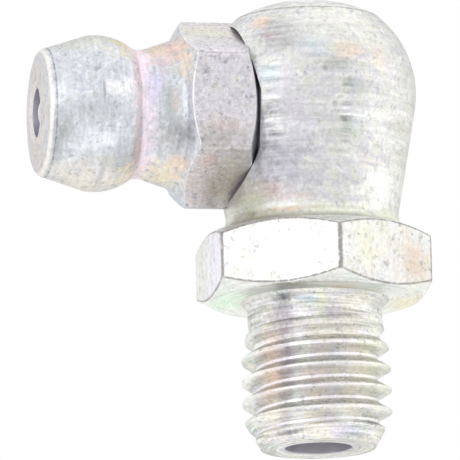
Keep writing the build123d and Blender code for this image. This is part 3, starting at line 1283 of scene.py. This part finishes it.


# ------------------------------------------------------------------------------ the making

# Zinc plate over the turned upright: cream, clouded and ringed by the lathe tool, with a painted highlight
# over the dome's top.
UPRIGHT_ZINC = ZincPassivate(
    "zinc_plate_turned",
    Lay.ROUND_UPRIGHT,
    ((0.3, "#D2D5CC"), (0.42, "#E4E3DE"), (0.5, "#D8D7DC"), (0.58, "#E7E8E4"), (0.7, "#D5D7CE")),
    stains_and_painted_light=(
        Patch((-1.6, -4.1, 6.6), (1.7, 2.2, 2.8), 0.7, "#D2D0D8"),  # lilac beside the spot face
        Patch((-2.0, -3.4, 5.1), (1.5, 2.0, 1.7), 0.95, "#B2B0B8"),
        Patch((-1.9, -3.3, 10.4), (1.2, 1.4, 1.1), 0.9, "#BFBEC1"),
        Patch((-1.8, -3.8, 7.9), (0.7, 1.2, 1.6), 0.75, "#C4C2C6"),
        Patch((2.7, -3.2, 4.3), (1.6, 2.2, 1.3), 0.9, "#FDFDF8"),
        Patch((1.7, -4.0, 7.0), (0.9, 1.2, 0.8), 0.6, "#F6F6F4"),
        Patch((3.4, -2.5, 6.5), (1.5, 2.5, 4.5), 0.7, "#EFEFE6"),  # straw on the right
        Patch((1.0, -3.5, 11.2), (2.6, 2.5, 1.2), 0.7, "#EEEEE4"),
        # a painted highlight over the dome's top
        Patch((0.0, 0.0, 12.9), (4.2, 4.2, 0.95), 1.0, "#FFFFFF"),
        Patch((0.3, -4.4, 9.2), (0.8, 1.0, 0.45), 0.9, "#C4C6C2"),
        Patch((1.0, -4.2, 8.4), (0.5, 0.8, 0.35), 0.8, "#C6CCCE"),
        Patch((-2.5, -3.7, 8.9), (0.5, 0.8, 0.5), 0.8, "#CFDDE2"),
        Patch((-0.6, -3.9, 10.0), (0.8, 0.8, 0.5), 0.8, "#CCD8DE"),
        Patch((0.8, -4.2, 6.9), (0.7, 0.8, 0.5), 0.4, "#CFDADE"),
        Patch((-2.6, -2.6, 11.3), (0.5, 0.7, 0.45), 0.9, "#EAD6C8"),
        Patch((-2.3, -3.1, 10.6), (0.35, 0.7, 0.3), 0.8, "#D6C2C6"),
        Patch((0.8, -4.3, 9.9), (0.8, 0.8, 0.5), 0.8, "#EFE0CE"),
        Patch((2.1, -3.6, 9.7), (0.5, 0.8, 0.7), 0.7, "#F2E4D2"),
        Patch((1.8, -4.0, 5.2), (0.6, 0.8, 0.4), 0.6, "#EBDFD0"),
        Patch((0.0, 0.0, 3.15), (9.0, 9.0, 0.5), 0.9, "#F0F2E0"),  # olive at the foot
        Patch((-2.5, -3.0, 4.1), (1.0, 1.6, 0.5), 0.8, "#C4ADAB"),
        Patch((-1.3, -3.6, 3.8), (0.8, 1.2, 0.2), 0.5, "#DCC6C2"),
        Patch((-1.5, -3.5, 3.3), (1.1, 1.6, 0.16), 0.8, "#DEC8B4"),
        Patch((-3.0, -1.6, 3.8), (1.1, 1.5, 0.9), 0.9, "#C6C8B4"),
        Patch((0.9, -4.05, 7.13), (1.1, 0.6, 0.06), 1.0, "#FFFFFF"),  # a scratch
    ),
    chatter=(
        Patch((-2.4, -3.6, 6.6), (0.5, 1.2, 3.2), 0.5),
        Patch((0.6, -4.2, 7.3), (0.3, 0.9, 2.2), 0.45),
        Patch((-2.1, -3.1, 11.0), (0.7, 1.0, 0.7), 0.3),
        Patch((3.4, -3.0, 6.6), (0.8, 1.2, 1.6), 0.25),
    ),
    lines=4.6,
    drift=2.0,
)
# Zinc plate over drawn hexagon bar: smoother and paler, with faint lines up the flats and a painted
# highlight on the front-left flat.
FLAT_ZINC = ZincPassivate(
    "zinc_plate_drawn",
    Lay.ALONG_UPRIGHT,
    ((0.3, "#DEE0D4"), (0.45, "#E6E4DE"), (0.6, "#E2E4E4"), (0.7, "#E0E4D8")),
    stains_and_painted_light=(
        # a painted highlight over the front-left flat
        Patch((-1.5, -4.3, 1.4), (2.5, 1.6, 2.2), 1.0, "#FCFCFE"),
        Patch((3.6, -3.1, 1.1), (0.9, 1.4, 1.1), 0.8, "#D9C5B4"),
        Patch((3.2, -3.2, 2.2), (0.5, 1.2, 0.5), 0.6, "#E6DCCC"),
        Patch((-4.5, -1.5, 1.4), (0.6, 2.4, 2.0), 0.8, "#EEECF6"),
        Patch((1.2, -4.4, 1.6), (0.8, 0.9, 1.1), 0.7, "#E6E7CE"),
    ),
    line_shade=0.08,
    speck_shade=0.4,
    edge_tint="#F4F4F4",
    seed=11.0,
)
# Zinc plate over the faced seat and chamfers: the palest, with a green and straw cast.
SEAT_ZINC = ZincPassivate(
    "zinc_plate_faced",
    Lay.ROUND_UPRIGHT,
    ((0.3, "#EEF0E6"), (0.45, "#F2F2EE"), (0.6, "#ECF2EE"), (0.7, "#F0F2E6")),
    stains_and_painted_light=(
        Patch((-3.6, 0.2, 0.0), (1.0, 2.2, 0.4), 1.0, "#E6FCE6"),
        Patch((3.9, 0.0, 0.0), (0.9, 2.0, 0.4), 1.0, "#F4EDD2"),
        Patch((-1.6, -3.6, 0.1), (1.3, 0.8, 0.4), 0.9, "#AEAC9A"),
        Patch((0.4, -3.4, 0.0), (0.6, 0.5, 0.2), 0.8, "#E6D0B8"),
        Patch((1.7, -3.6, 0.1), (1.2, 0.7, 0.3), 0.6, "#DEE8E4"),
    ),
    chatter=(Patch((0.0, 0.0, 0.0), (6.0, 6.0, 0.6), 0.12),),
    edge_tint="#F4F4F2",
    seed=17.0,
)
# Zinc plate over the rolled thread: highlights painted on the crests and roots, shade painted on the grey
# upper flanks, and painted highlights on its sides.
THREAD_ZINC = ZincPassivate(
    "zinc_plate_rolled",
    Lay.ROUND_UPRIGHT,
    ((0.3, "#F4F0E6"), (0.42, "#F2EFE6"), (0.5, "#ECEAED"), (0.58, "#F2F2EA"), (0.7, "#E8F1ED")),
    stains_and_painted_light=(
        Patch((-1.8, -2.2, -0.28), (0.6, 0.6, 0.3), 1.0, "#7C7B80"),
        Patch((-1.75, -2.1, -1.05), (0.95, 0.9, 0.75), 0.85, "#AAA2AE"),
        Patch((2.2, -1.7, -0.7), (0.9, 1.2, 0.7), 0.8, "#FAFBF6"),
        Patch((-0.9, -2.7, -0.36), (0.5, 0.6, 0.14), 0.9, "#D3E4EE"),
        Patch((-0.3, -2.8, -0.7), (0.3, 0.6, 0.7), 0.8, "#EEF2D6"),
        Patch((0.1, -2.8, -0.97), (0.45, 0.6, 0.4), 0.7, "#DED4E4"),
        # a painted highlight on the left side, tinted peach
        Patch((-2.35, -1.8, -3.4), (0.75, 1.3, 2.3), 1.0, "#FBEADC"),
        Patch((-1.8, -2.0, -3.7), (0.35, 0.9, 2.3), 0.7, "#C6C0C2"),
        # a painted highlight at the left edge, tinted green-white
        Patch((-3.5, -0.6, -3.6), (0.75, 1.6, 2.6), 1.0, "#F9FDF5"),
        Patch((-1.7, -2.1, -2.5), (0.55, 1.0, 1.0), 0.7, "#CFC4CE"),
        Patch((-0.6, -2.5, -3.6), (0.8, 1.0, 1.6), 0.6, "#F2E8E2"),
        # painted highlights on the right side, this line and the next
        Patch((1.4, -2.5, -3.3), (1.0, 1.0, 2.2), 0.9, "#FFF9EC"),
        Patch((2.2, -1.9, -3.4), (0.8, 1.2, 2.3), 0.9, "#F8F9E8"),
        Patch((-1.27, -2.4, -1.75), (0.4, 0.5, 0.22), 0.9, "#FFFFFF"),  # a burr, painted as a bright glint
        Patch((0.6, -2.5, -5.9), (1.0, 0.8, 0.3), 0.8, "#E6E2F4"),
        Patch((-1.6, -2.0, -5.9), (0.7, 0.8, 0.1), 1.0, "#A09E9C"),
        Patch((1.84, -2.0, -5.5), (0.6, 0.6, 0.1), 1.0, "#969492"),
    ),
    chatter=(
        Patch((0.0, 0.0, -0.75), (6.0, 6.0, 0.8), 0.35),
        Patch((0.0, 0.0, -5.8), (6.0, 6.0, 0.7), 0.4),
    ),
    cloud=1.3,
    drift=1.2,
    line_shade=0.26,
    speck_shade=0.4,
    grain=0.11,
    edge_tint="#D8DAD6",
    # the grime colour is grime at the end face's edge and painted shade on the upper flanks; the rubbed
    # colour is the painted highlights of roots and crests
    grime="#9498A0",
    rubbed="#F8F5FB",
    seed=23.0,
)
# Zinc plate over the hardened button: bluish, with straw and violet bands at the neck, bands of painted
# highlight and painted shade across it, and a painted highlight round the nose.
BUTTON_ZINC = ZincPassivate(
    "zinc_plate_hardened",
    Lay.ROUND_NIPPLE,
    ((0.3, "#C9CCD1"), (0.42, "#DDE1E6"), (0.5, "#D0D3DA"), (0.58, "#E4E8EE"), (0.7, "#CFD2D0")),
    stains_and_painted_light=(
        Patch((-9.6, -1.4, 10.7), (2.4, 2.4, 1.0), 0.8, "#D5D5CA"),
        Patch((-9.8, -0.6, 4.9), (2.4, 2.4, 0.9), 0.8, "#F0E9DC"),
        # darker patches painted as shade between the bands of painted highlight
        Patch((-11.1, -2.8, 6.8), (0.6, 1.0, 0.9), 0.9, "#B9BABB"),
        Patch((-11.2, -2.2, 6.0), (0.3, 1.2, 1.2), 0.8, "#ABADB2"),
        Patch((-10.2, -3.0, 7.5), (0.8, 1.0, 0.6), 0.9, "#C6C8CB"),
        Patch((-9.4, -3.1, 7.2), (0.6, 1.0, 0.35), 0.7, "#C6C8CA"),
        # painted highlights in two bands across the button
        Patch((-11.0, -2.7, 8.4), (0.7, 1.2, 0.5), 0.9, "#E6E9F0"),
        Patch((-8.7, -3.1, 8.35), (0.7, 1.2, 0.5), 1.0, "#FEFEFF"),
        Patch((-9.4, -2.7, 6.15), (1.3, 1.2, 0.42), 1.0, "#F0F2F8"),
        Patch((-9.0, -2.2, 5.4), (0.9, 1.4, 0.4), 0.7, "#CFCFCA"),
        Patch((-8.6, -2.6, 5.9), (0.35, 1.2, 0.8), 0.7, "#C9CCD6"),
        Patch((-9.4, -3.1, 8.2), (0.06, 0.8, 0.5), 0.7, "#A4A6AC"),
        Patch((-9.3, -1.6, 4.9), (0.18, 1.4, 0.8), 0.6, "#BFC2CA"),
        Patch((-8.2, -0.9, 10.3), (0.8, 1.8, 1.0), 1.0, "#E6D8AE"),
        Patch((-8.0, -0.8, 5.2), (0.7, 1.6, 0.8), 0.8, "#F0E8CC"),
        Patch((-7.5, 0.0, AXIS_HEIGHT), (0.6, 9.0, 9.0), 0.9, "#FAEAF8"),
        Patch((-7.8, 0.0, AXIS_HEIGHT), (0.3, 9.0, 9.0), 0.5, "#F8E0DC"),
        Patch((-7.05, -2.7, 8.6), (0.5, 0.9, 1.1), 0.9, "#E4DEF6"),
        Patch((-6.2, -1.6, 10.2), (1.4, 1.9, 1.2), 0.9, "#E8CDC2"),
        Patch((-6.9, -1.6, 10.3), (0.5, 1.7, 0.5), 0.7, "#DAD0BC"),
        Patch((-6.85, -2.2, 9.6), (0.5, 1.2, 0.6), 0.7, "#D8C6CA"),
        Patch((-6.6, -1.0, 5.1), (1.2, 1.7, 0.7), 0.8, "#F0E4C6"),
        Patch((-6.0, -1.6, 5.4), (0.5, 1.7, 0.5), 0.8, "#EED6C4"),
        Patch((-5.75, -2.7, 9.4), (0.35, 1.0, 1.1), 0.7, "#F0DFC4"),
        Patch((-6.5, -2.9, 6.4), (1.1, 1.2, 0.9), 0.8, "#B6B1B4"),
        Patch((-6.0, -2.9, 6.5), (0.6, 0.8, 0.5), 1.0, "#A3A6A6"),
        Patch((-6.5, -2.8, 7.7), (0.6, 1.0, 1.5), 0.9, "#B5B9B9"),
        Patch((-6.35, -2.9, 7.9), (0.15, 0.6, 0.6), 0.4, "#DCBEB2"),
        Patch((-11.7, 0.0, AXIS_HEIGHT), (0.2, 9.0, 9.0), 0.9, "#E1DBD9"),
        Patch((-11.7, 0.0, 9.6), (0.2, 1.5, 0.6), 0.6, "#E6D8D4"),
        Patch((-11.7, 0.0, 6.0), (0.2, 1.5, 0.6), 0.6, "#E4D8CC"),
    ),
    speck_shade=0.32,
    grime="#8C8E94",
    rubbed="#F8F4EC",
    seed=31.0,
)
# Zinc plate over the milled collar: dull, mottled and pitted, hardly any lines, with painted highlights
# along its edges and painted shade on its lower front corner.
COLLAR_ZINC = ZincPassivate(
    "zinc_plate_milled",
    Lay.ALONG_NIPPLE,
    ((0.3, "#D6D4D4"), (0.42, "#DEDADF"), (0.5, "#D5D4DA"), (0.58, "#E0DADC"), (0.7, "#D6D8D2")),
    stains_and_painted_light=(
        Patch((-4.6, -1.7, 11.2), (2.4, 2.4, 0.8), 0.8, "#DEDDCF"),
        Patch((-4.6, -1.8, 4.6), (2.4, 2.4, 0.9), 0.8, "#CDC1BA"),
        # painted shade over the collar's lower front corner, where its flats face down
        Patch((-4.7, -3.5, 6.2), (1.7, 1.2, 0.9), 0.9, "#BAB6B4"),
        Patch((-5.0, -2.6, 5.4), (0.5, 0.8, 0.5), 0.6, "#D8BEB6"),
        Patch((-4.4, -3.5, 6.7), (1.2, 0.8, 0.4), 0.5, "#D8C8C4"),
        Patch((-3.0, -3.1, 9.4), (0.25, 0.7, 1.0), 0.9, "#B98A7C"),
    ),
    cloud=0.5,
    line_shade=0.05,
    speck_shade=0.5,
    dent_shade=0.4,
    grain=0.15,
    seed=47.0,
)
# Bare drilled steel: a dull dark lining in every hole.
DRILLED_STEEL = PlainSteel("drilled_steel_dark", "#D0CCD4", 0.5)
# Polished bearing steel: one small sharp glint.
BALL_STEEL = PlainSteel("ball_bearing_steel", "#C9CCD2", 0.08)
# Drawn spring wire: smooth and grey.
SPRING_STEEL = PlainSteel("spring_wire_steel", "#9A9CA2", 0.3)
# Matt emulsion: a plain pale ground.
FLOOR_PAINT = FloorPaint("pale_floor_paint", "#FAFAF8", 0.8)


def main() -> None:
    """Builds the studio and the pieces in order and reports each one."""
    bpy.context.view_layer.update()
    Studio().build()
    sections: list[Any] = [
        ElbowBody((UPRIGHT_ZINC, FLAT_ZINC, SEAT_ZINC, THREAD_ZINC, DRILLED_STEEL)),
        NippleHead((BUTTON_ZINC, COLLAR_ZINC, DRILLED_STEEL)),
        CheckValve(BALL_STEEL, SPRING_STEEL),
    ]
    for section in sections:
        piece = section.build()
        LOG.info("%s: %d faces", piece.name, len(piece.data.polygons))


if __name__ == "__main__":
    logging.basicConfig(level=logging.INFO, format="%(name)s: %(message)s")
    main()
